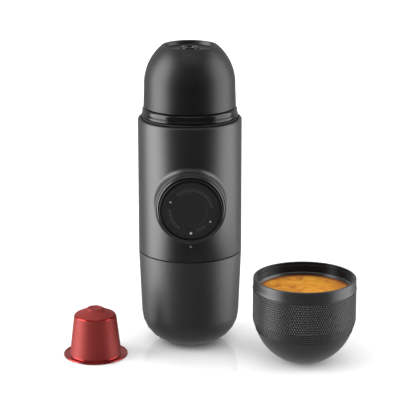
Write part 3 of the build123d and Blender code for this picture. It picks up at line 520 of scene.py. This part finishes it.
BORE_RADIUS = 18.15
flat_lip = [
    f for f in bm.faces if all(v.co.y < -36.25 * MM and off_pump(v) > BORE_RADIUS for v in f.verts)
]
bmesh.ops.delete(bm, geom=flat_lip, context="FACES")
open_edges = [e for e in bm.edges if e.is_boundary]
bore_rim = [e for e in open_edges if off_pump(e.verts[0]) < 19]
rim = [e for e in open_edges if off_pump(e.verts[0]) > 20]
bmesh.ops.translate(bm, verts=list({v for e in rim for v in e.verts}), vec=(0, 1.5 * MM, 0))
reach, front = 20.3, -34.8
for next_reach, next_front in (
    (20.27, -35.2), (20.15, -35.55), (19.95, -35.85), (19.7, -36.05), (19.4, -36.15), (19.25, -36.1),
    (19.15, -36.2), (19.05, -36.5), (18.85, -36.8), (18.6, -36.95), (18.4, -37.0),
):
    grown = bmesh.ops.extrude_edge_only(bm, edges=rim)
    moved = corners_of(grown)
    rim = [e for e in grown["geom"] if isinstance(e, bmesh.types.BMEdge) and all(v in moved for v in e.verts)]
    shrink = next_reach / reach
    bmesh.ops.scale(bm, verts=moved, vec=(shrink, 1, shrink), space=Matrix.Translation((0, 0, -90 * MM)))
    bmesh.ops.translate(bm, verts=moved, vec=(0, (next_front - front) * MM, 0))
    reach, front = next_reach, next_front
bmesh.ops.bridge_loops(bm, edges=rim + bore_rim)
housing = finish_mesh(bm, "housing_tube")
housing.data.materials.append(moulded("satin_grey", (0.0062, 0.0064, 0.0070), 0.42, specular=1.0))
housing.data.materials.append(moulded("rubbed_lip_grey_with_painted_highlight", (0.016, 0.0165, 0.0175), 0.24, specular=1.0))
for face in housing.data.polygons:
    face.material_index = int(face.center.y < -36.15 * MM)  # the boss's lip: rubbed smoother by the knob, and its colour painted lighter as a highlight
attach(housing, "main_body")
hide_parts("body_housing")

printed_grey = moulded("printed_grey", (0.24, 0.24, 0.245), 0.55, grain=0.0002, depth=0.002)

bm = bmesh.new()
bmesh.ops.create_circle(bm, cap_ends=True, segments=3, radius=0.9 * MM)
bmesh.ops.rotate(bm, verts=bm.verts, cent=(0, 0, 0), matrix=Matrix.Rotation(math.pi / 2, 3, "X"))
bmesh.ops.translate(bm, verts=bm.verts, vec=(0, -29.98 * MM, 65.75 * MM))
raised = bmesh.ops.extrude_face_region(bm, geom=bm.faces[:])
bmesh.ops.translate(bm, verts=corners_of(raised), vec=(0, -0.05 * MM, 0))
lock_mark = finish_mesh(bm, "lock_mark")
lock_mark.data.materials.append(printed_grey)
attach(lock_mark, "main_body")

# ---------------------------------------------------------------------------------------------
# Collar: a polished black ring with two full beads and a fine line between them. The cup pushes
# over the beads, and a rubber ring in the groove below them grips it.
# ---------------------------------------------------------------------------------------------

bm = bmesh.new()
turned(bm, [
    (26, 118.5), (27.8, 118.5, 0.3), (27.8, 135), (26.8, 135), (26.8, 136), (27.8, 136, 0.95),
    (27.8, 138.1, 0.95), (27.1, 138.1), (27.1, 138.4), (27.4, 138.4, 0.7), (27.4, 141.5, 1.8),
    (23.9, 141.5, 0.2), (23.9, 139.5), (26, 139.5),
])
collar = finish_mesh(bm, "collar")
collar.data.materials.append(polished_black)
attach(collar, "main_body")
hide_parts("neck_collar")
dress("cup_snap_ring", black_rubber)

# ---------------------------------------------------------------------------------------------
# Piston: sleeve and rod are moulded in grey, with a rubber ring on the rod's head. The lock ring
# behind the knob is black, and one countersunk screw holds knob and rod together.
# ---------------------------------------------------------------------------------------------

matt_black = moulded("matt_black", (0.0085, 0.0085, 0.0088), 0.46, grain=0.00035, depth=0.012)
dress("lock_ring", matt_black)
for node in ("plunger_sleeve", "piston_rod"):
    dress(node, grey_nylon)
dress("piston_seal", black_rubber)
dress("knob_screw", pressed_steel)

# ---------------------------------------------------------------------------------------------
# Knob: a deep black ring with a dished disc pressed into its face. The disc has plain printed
# ticks, one large dot for the locked place and two small dots.
# ---------------------------------------------------------------------------------------------


def face_on(bm):
    """Turns a piece made upright round Z into one that faces -Y on the pump's axis."""
    bmesh.ops.rotate(bm, verts=bm.verts, cent=(0, 0, 0), matrix=Matrix.Rotation(math.pi / 2, 3, "X"))
    bmesh.ops.translate(bm, verts=bm.verts, vec=(0, 0, 90 * MM))


bm = bmesh.new()
turned(bm, [
    (16.1, 28.6), (17.9, 28.6), (17.9, 40, 0.9), (16.6, 40, 0.25), (16.5, 38.85), (2.9, 38.85),
    (1.5, 37.45), (1.5, 36.85), (16.1, 36.85),
])
face_on(bm)
knob = finish_mesh(bm, "knob_ring")
knob.data.materials.append(moulded("deep_black", (0.0030, 0.0030, 0.0032), 0.50, specular=0.22))
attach(knob, "piston")
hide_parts("piston_knob")

disc_black = moulded("disc_black", (0.016, 0.016, 0.0165), 0.42, grain=0.0003, depth=0.010)
bm = bmesh.new()
turned(bm, [
    (0, 38.85), (16.4, 38.85), (16.4, 39.85, 0.3), (9.4, 39.85, 0.6), (8.7, 39.50, 1.2),
    (4.5, 39.38), (0, 39.36),
], closed=False)
face_on(bm)
disc = finish_mesh(bm, "knob_disc")
disc.data.materials.append(disc_black)
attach(disc, "piston")
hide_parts("knob_face")

tick_grey = moulded("tick_grey", (0.072, 0.072, 0.075), 0.5, grain=0.0002, depth=0.002)
dot_white = moulded("dot_white", (0.42, 0.42, 0.42), 0.5, grain=0.0002, depth=0.002)

bm = bmesh.new()
for angle in [*range(10, 136, 7), *range(178, 240, 7), *range(-72, -44, 7)]:
    tick = bmesh.new()
    bmesh.ops.create_cube(tick, size=MM)
    bmesh.ops.scale(tick, verts=tick.verts, vec=(1.7, 0.42, 0.06))
    bmesh.ops.translate(tick, verts=tick.verts, vec=(11.9 * MM, 0, 39.85 * MM))
    bmesh.ops.rotate(
        tick, verts=tick.verts, cent=(0, 0, 0), matrix=Matrix.Rotation(math.radians(angle), 3, "Z")
    )
    add_to(bm, tick)
face_on(bm)
ticks = finish_mesh(bm, "knob_ticks", merge=False)
ticks.data.materials.append(tick_grey)
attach(ticks, "piston")

bm = bmesh.new()
for angle, reach, radius in ((-90, 13.2, 0.72), (156, 12.5, 0.5), (-30.5, 12.7, 0.5)):
    dot = bmesh.new()
    bmesh.ops.create_cone(
        dot, cap_ends=True, segments=32, radius1=radius * MM, radius2=radius * 0.9 * MM, depth=0.08 * MM
    )
    bmesh.ops.translate(dot, verts=dot.verts, vec=(reach * MM, 0, 39.86 * MM))
    bmesh.ops.rotate(
        dot, verts=dot.verts, cent=(0, 0, 0), matrix=Matrix.Rotation(math.radians(angle), 3, "Z")
    )
    add_to(bm, dot)
face_on(bm)
dots = finish_mesh(bm, "knob_dots", merge=False)
dots.data.materials.append(dot_white)
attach(dots, "piston")

# ---------------------------------------------------------------------------------------------
# Outlet head: the capsule's silicone gasket and the steel screen lie under a black funnel, and
# the satin grey dome screws down over them. The nozzle stands in the dish on top of the dome.
# ---------------------------------------------------------------------------------------------

silicone = moulded("silicone", (0.48, 0.46, 0.43), 0.45, grain=0.0008, depth=0.01)
dress("capsule_gasket", silicone)
dress("screen_plate", pressed_steel)
dress("outlet_insert", polished_black)

bm = bmesh.new()
turned(bm, [
    (15, 152.6), (23.3, 152.6, 0.2), (23.3, 154.6, 0.3), (15.9, 154.6), (7.4, 164.2), (7.4, 166),
    (5.2, 166), (5.2, 176.2, 0.9), (3.3, 176.2, 0.6), (2.4, 174.4), (2.4, 164.2),
])
funnel = finish_mesh(bm, "funnel_and_nozzle")
funnel.data.materials.append(polished_black)
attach(funnel, "outlet_head")
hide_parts("outlet_insert")

bm = bmesh.new()
turned(bm, [
    (24.25, 141.8, 0.25), (26.65, 141.8, 0.35), (26.25, 153.8), ("arc", 15.8, 177, 29, 48, 0.4),
    (14.4, 177, 0.3), (13.8, 174.6, 0.5), (5.6, 174.6, 0.3), (5.6, 166), (7.4, 166), (7.4, 172.2),
    (14.6, 172.2), ("arc", 23.85, 153.8, -26.6, 30),
])
add_to(bm, thread(24.3, 23.9, 142.3))
dome = finish_mesh(bm, "dome", merge=False)
# Painted shade: the dome's grey is painted darker than the housing's, to take back the stronger light from
# above on its upturned faces.
dome.data.materials.append(moulded("dome_grey_painted_darker", (0.0040, 0.0041, 0.0045), 0.42, specular=0.66))
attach(dome, "outlet_head")
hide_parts("head_shell")

# ---------------------------------------------------------------------------------------------
# Cup: a black plastic bowl with a smooth collar and a small flat foot. A band with staggered rows
# of small pyramids is seated round it for grip. Both are kept out of mirror-like reflections, so
# that the side light's reflection stays whole on the tank beside them.
# ---------------------------------------------------------------------------------------------

CUP = (65, -36)

bm = bmesh.new()
turned(bm, [
    (0, 0), (8.6, 0), (10.6, 0.34), ("arc", 27.52, 18.3, 28.9, 24), (26.7, 18.3), (28.6, 23.5), (28.6, 42.9),
    (29.8, 42.9, 0.2), (29.8, 43.4), (29.5, 44.6, 0.9), (29.5, 49.3, 0.5), (28.0, 49.3, 0.4), (28.0, 47.6),
    (28.25, 47.4), (28.25, 47.0), (28.0, 46.8), (28.0, 42.8), (27.8, 42.8), (27.7, 43.3, 0.2),
    (26.9, 43.3, 0.38), (26.9, 27.1), ("arc", 9.64, 2, -26.9, 24), (0, 2),
], middle=CUP, closed=False)
cup = finish_mesh(bm, "cup_bowl")
# Painted light: inside the mouth the black is painted darker as shade, and the ledge round the coffee is
# painted lighter as a highlight; the ledge is also glossier.
OUTSIDE, MOUTH_PAINTED_SHADE, LEDGE_PAINTED_HIGHLIGHT = range(3)
cup.data.materials.append(moulded("cup_black", (0.022, 0.022, 0.0225), 0.40, depth=0.010, specular=0.8))
cup.data.materials.append(moulded("cup_inner_black_painted_shade", (0.012, 0.012, 0.012), 0.34, depth=0.002, specular=0.12))
cup.data.materials.append(moulded("cup_ledge_black_painted_highlight", (0.035, 0.035, 0.035), 0.16, depth=0.002, specular=1.0))
for face in cup.data.polygons:
    reach, height = (face.center.xy - Vector(CUP) * MM).length / MM, face.center.z / MM
    if reach < 28.3 and height > 42:
        face.material_index = LEDGE_PAINTED_HIGHLIGHT if 42.95 < height < 43.31 else MOUTH_PAINTED_SHADE
    else:
        face.material_index = OUTSIDE
cup.visible_glossy = False
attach(cup, "cup")
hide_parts("cup_shell")

BAND_FOOT, BAND_BEND, BAND_TOP = 18.75, 24.1, 41.9
LOWER_ROWS, UPPER_ROWS, HALF_CELLS = 4, 13, 260
bm = bmesh.new()
chain(bm, [
    (29.3, BAND_TOP), (29.3, BAND_BEND), (27.45, BAND_FOOT), (27.85, 18.6), (27.85, 18.4), (26.8, 18.4),
    (28.7, 23.5), (28.7, 42.2), (29.6, 42.2, 0.2), (29.65, 41.95),
], closed=True)
for low, high, rows in ((BAND_BEND, BAND_TOP, UPPER_ROWS), (BAND_FOOT, BAND_BEND, LOWER_ROWS)):
    side = [
        e for e in bm.edges
        if {round(v.co.z / MM, 2) for v in e.verts} == {low, high} and all(v.co.x > 27.4 * MM for v in e.verts)
    ]
    bmesh.ops.subdivide_edges(bm, edges=side, cuts=rows - 1)
bmesh.ops.spin(
    bm, geom=bm.verts[:] + bm.edges[:], cent=(0, 0, 0), axis=(0, 0, 1), dvec=(0, 0, 0),
    angle=math.tau, steps=HALF_CELLS, use_merge=True, use_duplicate=False,
)
bmesh.ops.remove_doubles(bm, verts=bm.verts, dist=0.000002)
bmesh.ops.recalc_face_normals(bm, faces=bm.faces)


def on_grip(face):
    """Whether a face of the band is one that carries a pyramid."""
    middle = face.calc_center_median()
    height = middle.z / MM
    reach = 27.45 + min(max(height - BAND_FOOT, 0) * 0.345, 1.85)
    return BAND_FOOT < height < BAND_TOP and middle.xy.length / MM > reach - 0.1 and face.normal.xy.length > 0.8


def between_cells(edge):
    """Whether an upright edge is to go: every second one of a row, and in the next row the others."""
    one, other = edge.verts
    if (one.co.xy.normalized() - other.co.xy.normalized()).length > 0.001:
        return False
    middle = (one.co + other.co) / 2
    column = round(math.atan2(middle.y, middle.x) / (math.tau / HALF_CELLS))
    above_bend = middle.z / MM - BAND_BEND
    if above_bend > 0:
        row = math.floor(above_bend / ((BAND_TOP - BAND_BEND) / UPPER_ROWS))
    else:
        row = math.floor(above_bend / ((BAND_BEND - BAND_FOOT) / LOWER_ROWS))
    return (column + row) % 2 == 1


seams = [e for e in bm.edges if len(e.link_faces) == 2 and all(map(on_grip, e.link_faces)) and between_cells(e)]
bmesh.ops.dissolve_edges(bm, edges=seams, use_verts=False, use_face_split=False)
cells = [f for f in bm.faces if on_grip(f)]
bmesh.ops.inset_individual(bm, faces=cells, thickness=0.12 * MM, depth=0, use_even_offset=True)
bmesh.ops.poke(bm, faces=cells, offset=0.40 * MM, center_mode="MEAN")
bmesh.ops.translate(bm, verts=bm.verts, vec=(CUP[0] * MM, CUP[1] * MM, 0))
band = finish_mesh(bm, "cup_band")
band.data.materials.append(moulded("grip_black", (0.014, 0.014, 0.0145), 0.42, depth=0.006, specular=0.62))
band.visible_glossy = False
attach(band, "cup")
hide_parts("cup_grip_band")

# ---------------------------------------------------------------------------------------------
# Espresso in the cup: dark coffee under an orange brown cream of fine bubbles, darker where it
# meets the wall.
# ---------------------------------------------------------------------------------------------

bm = bmesh.new()
turned(bm, [
    (0, 41.5), (25.9, 41.5, 0.5), (26.78, 41.85, 0.05), (26.78, 27.1), ("arc", 9.4, 2.02, -26.8, 20),
    (0, 2.02),
], middle=CUP, closed=False)
coffee = finish_mesh(bm, "coffee")
crema = moulded("crema", (0.58, 0.22, 0.028), 0.34, grain=0.0007, depth=0.03, specular=0.06)
nodes, links = crema.node_tree.nodes, crema.node_tree.links
shader = nodes["Principled BSDF"]
place = nodes.new("ShaderNodeMapping")
place.inputs["Location"].default_value = (-CUP[0] * MM, -CUP[1] * MM, 0)
links.new(nodes["Texture Coordinate"].outputs["Object"], place.inputs["Vector"])
swirl = nodes.new("ShaderNodeTexNoise")
swirl.inputs["Scale"].default_value = 95
swirl.inputs["Detail"].default_value = 6
swirl.inputs["Roughness"].default_value = 0.62
swirl.inputs["Distortion"].default_value = 1.2
links.new(place.outputs[0], swirl.inputs["Vector"])
shade = nodes.new("ShaderNodeValToRGB")
shade.color_ramp.elements[0].position, shade.color_ramp.elements[0].color = 0.30, (0.40, 0.115, 0.008, 1)
shade.color_ramp.elements[1].position, shade.color_ramp.elements[1].color = 0.74, (0.72, 0.36, 0.030, 1)
middle = shade.color_ramp.elements.new(0.50)
middle.color = (0.60, 0.235, 0.010, 1)
links.new(swirl.outputs["Fac"], shade.inputs[0])
reach = nodes.new("ShaderNodeVectorMath")
reach.operation = "LENGTH"
flat = nodes.new("ShaderNodeVectorMath")
flat.operation = "MULTIPLY"
flat.inputs[1].default_value = (1, 1, 0)
links.new(place.outputs[0], flat.inputs[0])
links.new(flat.outputs[0], reach.inputs[0])
edge = nodes.new("ShaderNodeMapRange")
edge.interpolation_type = "SMOOTHSTEP"
edge.inputs["From Min"].default_value, edge.inputs["From Max"].default_value = 0.0235, 0.0268
links.new(reach.outputs["Value"], edge.inputs["Value"])
rimmed = nodes.new("ShaderNodeMix")
rimmed.data_type = "RGBA"
rimmed.inputs["B"].default_value = (0.16, 0.040, 0.008, 1)
links.new(edge.outputs[0], rimmed.inputs["Factor"])
links.new(shade.outputs[0], rimmed.inputs["A"])
links.new(rimmed.outputs["Result"], shader.inputs["Base Color"])
coffee.data.materials.append(crema)
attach(coffee, "cup")
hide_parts("espresso")
coffee.visible_glossy = False  # so that it throws no orange patch on the dark plastic

# ---------------------------------------------------------------------------------------------
# Capsule: drawn and anodised red aluminium with a rolled rim, closed by a silver foil that it
# stands on, and packed with ground coffee. It throws no red patch on the tank beside it.
# ---------------------------------------------------------------------------------------------

CAPSULE = (-55.3, -27)
bm = bmesh.new()
turned(bm, [
    (14.5, 0.2), (18.5, 0.2, 0.48), (18.5, 1.2, 0.48), (17.52, 1.2, 0.40), (17.45, 0.70, 0.05),
    (16.6, 0.70, 0.1), (16.4, 0.86, 0.1), (15.9, 0.86, 0.1), (15.7, 0.70, 0.1), (15.05, 0.70, 0.3),
    (14.85, 1.3), (12.15, 24.4, 0.9), (10.2, 25.36, 0.2), (9.95, 25.40, 0.1), (7.6, 26.60, 0.2),
    (7.35, 26.64, 0.1), (4.95, 27.9, 0.15),
    (4.5, 28.6, 0.4), (3.4, 28.6, 0.25), (3.0, 28.2, 0.15), (0, 28.2), (0, 27.6), (4.5, 27.6), (11.75, 24.0),
    (14.5, 0.75),
], middle=CAPSULE)
capsule = finish_mesh(bm, "capsule")
capsule.data.materials.append(metal("anodised_red", (0.30, 0.031, 0.027), 0.54, metallic=0.45))
capsule.data.materials.append(metal("shiny_red_painted_highlight", (0.42, 0.030, 0.028), 0.22, metallic=0.85))
for face in capsule.data.polygons:
    height = face.center.z / MM
    face.material_index = int(height < 1.25 or 23.95 < height < 24.95)  # the rim and the shoulder's edge: shinier metal, with its colour painted lighter as a highlight
capsule.visible_glossy = False
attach(capsule, "capsule")
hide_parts("capsule_shell")

dress("capsule_foil", metal("silver_foil", (0.72, 0.72, 0.73), 0.26, depth=0.03))
ground_coffee = moulded("ground_coffee", (0.055, 0.026, 0.012), 0.8, grain=0.0009, depth=0.25, drift=0.4)
dress("coffee_grounds", ground_coffee)

low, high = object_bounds()
